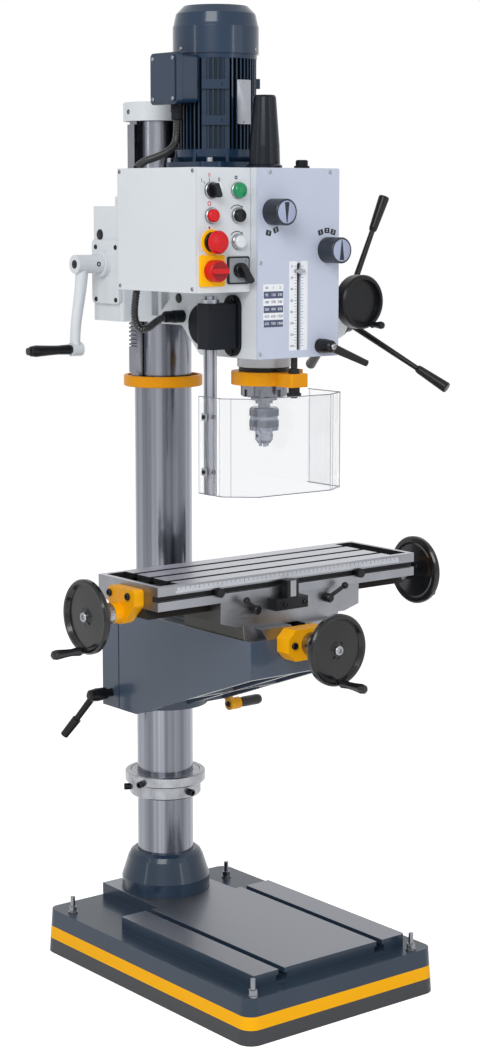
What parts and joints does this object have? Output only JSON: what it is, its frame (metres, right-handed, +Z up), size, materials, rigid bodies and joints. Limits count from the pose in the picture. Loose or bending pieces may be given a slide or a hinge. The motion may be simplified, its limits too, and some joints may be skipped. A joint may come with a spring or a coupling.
{
  "type": "mill drill",
  "caption": "Mill drill on a round column: geared head with quill feed, crank lift and clear chuck guard, over a swinging knee with a slotted cross-travel table.",
  "frame": {"origin": "centre of the base's underside, on the floor", "axes": "+Z up, +Y from the front towards the column, +X to the operator's right"},
  "size_m": [0.92, 0.71, 1.811],
  "materials": {
    "dark_paint": "gloss paint",
    "dark_steel": "blackened",
    "ground_steel": "ground",
    "ground_iron": "ground",
    "white_paint": "gloss paint",
    "panel_paint": "satin",
    "yellow_paint": "gloss paint",
    "black_plastic": "moulded",
    "lever_black": "black oxide",
    "motor_paint": "paint",
    "conduit": "corrugated",
    "fan_plastic": "moulded",
    "fittings": "moulded",
    "chrome": "polished",
    "aluminium": "anodised",
    "clear_sheet": "clear",
    "red_plastic": "moulded",
    "white_plastic": "moulded",
    "wheel_black": "moulded"
  },
  "bodies": {
    "stand": {"base": "dark_paint", "levelling_studs": "dark_steel", "column_foot": "dark_paint", "column": "ground_steel", "column_cap": "white_paint", "head_rack_ring": "yellow_paint", "lower_collar": "ground_steel"},
    "head_rack": {"head_rack": "ground_steel"},
    "head": {"head_casting": "white_paint", "head_panel": "panel_paint", "control_box": "white_paint", "control_cover": "white_paint", "control_fittings": "fittings", "motor_frame": "motor_paint", "fan_cover": "motor_paint", "terminal_box": "motor_paint", "motor_conduit": "conduit", "feed_conduit": "conduit", "conduit_glands": "black_plastic", "drawbar_cover": "black_plastic", "spring_cover": "dark_steel", "guard_bracket": "black_plastic"},
    "fan": {"motor_fan": "fan_plastic"},
    "quill": {"quill": "ground_steel", "quill_clamp": "yellow_paint", "depth_rod": "ground_steel"},
    "spindle": {"spindle": "ground_steel", "drill_chuck": "chrome"},
    "feed": {"feed_shaft": "dark_steel", "feed_levers": "lever_black"},
    "fine_feed": {"fine_wheel": "black_plastic"},
    "speed_left": {"speed_knob_left": "black_plastic"},
    "speed_right": {"speed_knob_right": "black_plastic"},
    "quill_lock": {"quill_lock_lever": "black_plastic"},
    "guard": {"guard_post": "aluminium", "guard_screen": "clear_sheet"},
    "selector": {"selector": "black_plastic"},
    "stop": {"stop_button": "red_plastic"},
    "start": {"start_button": "black_plastic"},
    "white": {"white_button": "white_plastic"},
    "estop": {"estop_button": "red_plastic"},
    "main": {"main_switch": "red_plastic"},
    "changeover": {"changeover_switch": "black_plastic"},
    "head_crank": {"head_crank": "white_paint"},
    "head_grip": {"head_crank_grip": "black_plastic"},
    "knee_rack": {"knee_rack": "ground_steel"},
    "knee": {"knee": "dark_paint", "cross_bracket": "yellow_paint"},
    "knee_crank": {"knee_crank": "yellow_paint"},
    "knee_clamp": {"knee_clamp_lever": "black_plastic"},
    "cross_feed": {"cross_screw": "ground_steel", "cross_wheel": "wheel_black"},
    "saddle": {"saddle": "ground_iron", "stop_block": "dark_steel"},
    "lock_left": {"table_lock_left": "lever_black"},
    "lock_right": {"table_lock_right": "lever_black"},
    "table": {"table": "ground_iron", "table_brackets": "yellow_paint"},
    "table_feed": {"table_screw": "ground_steel", "table_wheels": "wheel_black"}
  },
  "joints": [
    {"name": "head_swing", "type": "hinge", "parent": "stand", "child": "head_rack", "pos_m": [0, 0.225, 1.35], "axis": [0, 0, 1], "continuous": true},
    {"name": "head_lift", "type": "slide", "parent": "head_rack", "child": "head", "axis": [0, 0, 1], "range_m": [-0.095, 0.13]},
    {"name": "head_crank_turn", "type": "hinge", "parent": "head", "child": "head_crank", "pos_m": [-0.15, 0.243, 1.345], "axis": [1, 0, 0], "range_deg": [-8550.05, 11700.05]},
    {"name": "head_grip_spin", "type": "hinge", "parent": "head_crank", "child": "head_grip", "pos_m": [-0.24, 0.243, 1.187], "axis": [1, 0, 0], "continuous": true},
    {"name": "motor_fan_spin", "type": "hinge", "parent": "head", "child": "fan", "pos_m": [0, 0.057, 1.74], "axis": [0, 0, 1], "continuous": true},
    {"name": "quill_feed", "type": "slide", "parent": "head", "child": "quill", "axis": [0, 0, 1], "range_m": [-0.13, 0], "stiffness_N_per_m": 400, "springref_m": 0.5},
    {"name": "feed_turn", "type": "hinge", "parent": "head", "child": "feed", "pos_m": [0.232, -0.031, 1.242], "axis": [-1, 0, 0], "range_deg": [-465.53, 0]},
    {"name": "spindle_spin", "type": "hinge", "parent": "quill", "child": "spindle", "pos_m": [0, -0.085, 1.12], "axis": [0, 0, 1], "continuous": true},
    {"name": "fine_turn", "type": "hinge", "parent": "head", "child": "fine_feed", "pos_m": [0.163, -0.14, 1.28], "axis": [0, 1, 0], "continuous": true},
    {"name": "speed_left_turn", "type": "hinge", "parent": "head", "child": "speed_left", "pos_m": [-0.06, -0.2, 1.443], "axis": [0, 1, 0], "range_deg": [0, 60]},
    {"name": "speed_right_turn", "type": "hinge", "parent": "head", "child": "speed_right", "pos_m": [0.066, -0.2, 1.3755], "axis": [0, 1, 0], "range_deg": [-45, 45]},
    {"name": "quill_lock_turn", "type": "hinge", "parent": "head", "child": "quill_lock", "pos_m": [0.05, -0.2, 1.206], "axis": [0, 1, 0], "range_deg": [-60, 30]},
    {"name": "guard_swing", "type": "hinge", "parent": "head", "child": "guard", "pos_m": [-0.14, -0.107, 1.244], "axis": [0, 0, 1], "range_deg": [-105, 0]},
    {"name": "selector_turn", "type": "hinge", "parent": "head", "child": "selector", "pos_m": [-0.18, -0.17, 1.48], "axis": [0, 1, 0], "range_deg": [-45, 45]},
    {"name": "stop_push", "type": "slide", "parent": "head", "child": "stop", "axis": [0, 1, 0], "range_m": [0, 0.003], "stiffness_N_per_m": 800},
    {"name": "start_push", "type": "slide", "parent": "head", "child": "start", "axis": [0, 1, 0], "range_m": [0, 0.003], "stiffness_N_per_m": 800},
    {"name": "white_push", "type": "slide", "parent": "head", "child": "white", "axis": [0, 1, 0], "range_m": [0, 0.003], "stiffness_N_per_m": 800},
    {"name": "estop_push", "type": "slide", "parent": "head", "child": "estop", "axis": [0, 1, 0], "range_m": [0, 0.004]},
    {"name": "main_switch_turn", "type": "hinge", "parent": "head", "child": "main", "pos_m": [-0.18, -0.17, 1.343], "axis": [0, 1, 0], "range_deg": [-90, 0]},
    {"name": "changeover_turn", "type": "hinge", "parent": "head", "child": "changeover", "pos_m": [-0.122, -0.17, 1.343], "axis": [0, 1, 0], "range_deg": [-45, 45]},
    {"name": "knee_swing", "type": "hinge", "parent": "stand", "child": "knee_rack", "pos_m": [0, 0.225, 0.6], "axis": [0, 0, 1], "continuous": true},
    {"name": "knee_lift", "type": "slide", "parent": "knee_rack", "child": "knee", "axis": [0, 0, 1], "range_m": [-0.12, 0.13]},
    {"name": "knee_crank_turn", "type": "hinge", "parent": "knee", "child": "knee_crank", "pos_m": [0.12, 0.3104, 0.54], "axis": [1, 0, 0], "range_deg": [-458.42, 496.61]},
    {"name": "knee_clamp_turn", "type": "hinge", "parent": "knee", "child": "knee_clamp", "pos_m": [-0.12, 0.252, 0.515], "axis": [1, 0, 0], "range_deg": [-40, 40]},
    {"name": "saddle_slide", "type": "slide", "parent": "knee", "child": "saddle", "axis": [0, 1, 0], "range_m": [-0.07, 0.1]},
    {"name": "cross_turn", "type": "hinge", "parent": "knee", "child": "cross_feed", "pos_m": [0, -0.25, 0.675], "axis": [0, 1, 0], "range_deg": [-6300.05, 9000.05]},
    {"name": "table_slide", "type": "slide", "parent": "saddle", "child": "table", "axis": [1, 0, 0], "range_m": [-0.13, 0.13]},
    {"name": "table_turn", "type": "hinge", "parent": "table", "child": "table_feed", "pos_m": [0.36, -0.076, 0.749], "axis": [1, 0, 0], "range_deg": [-11700.05, 11700.05]},
    {"name": "lock_left_turn", "type": "hinge", "parent": "saddle", "child": "lock_left", "pos_m": [-0.089, -0.17, 0.741], "axis": [0, 1, 0], "range_deg": [-25, 25]},
    {"name": "lock_right_turn", "type": "hinge", "parent": "saddle", "child": "lock_right", "pos_m": [0.081, -0.17, 0.743], "axis": [0, 1, 0], "range_deg": [-25, 25]}
  ],
  "couplings": [
    {"joint": "head_crank_turn", "follows": "head_lift", "rad_per_m": 1570.8},
    {"joint": "quill_feed", "follows": "feed_turn", "m_per_rad": 0.016},
    {"joint": "knee_crank_turn", "follows": "knee_lift", "rad_per_m": 66.667},
    {"joint": "cross_turn", "follows": "saddle_slide", "rad_per_m": 1570.8},
    {"joint": "table_turn", "follows": "table_slide", "rad_per_m": 1570.8}
  ]
}
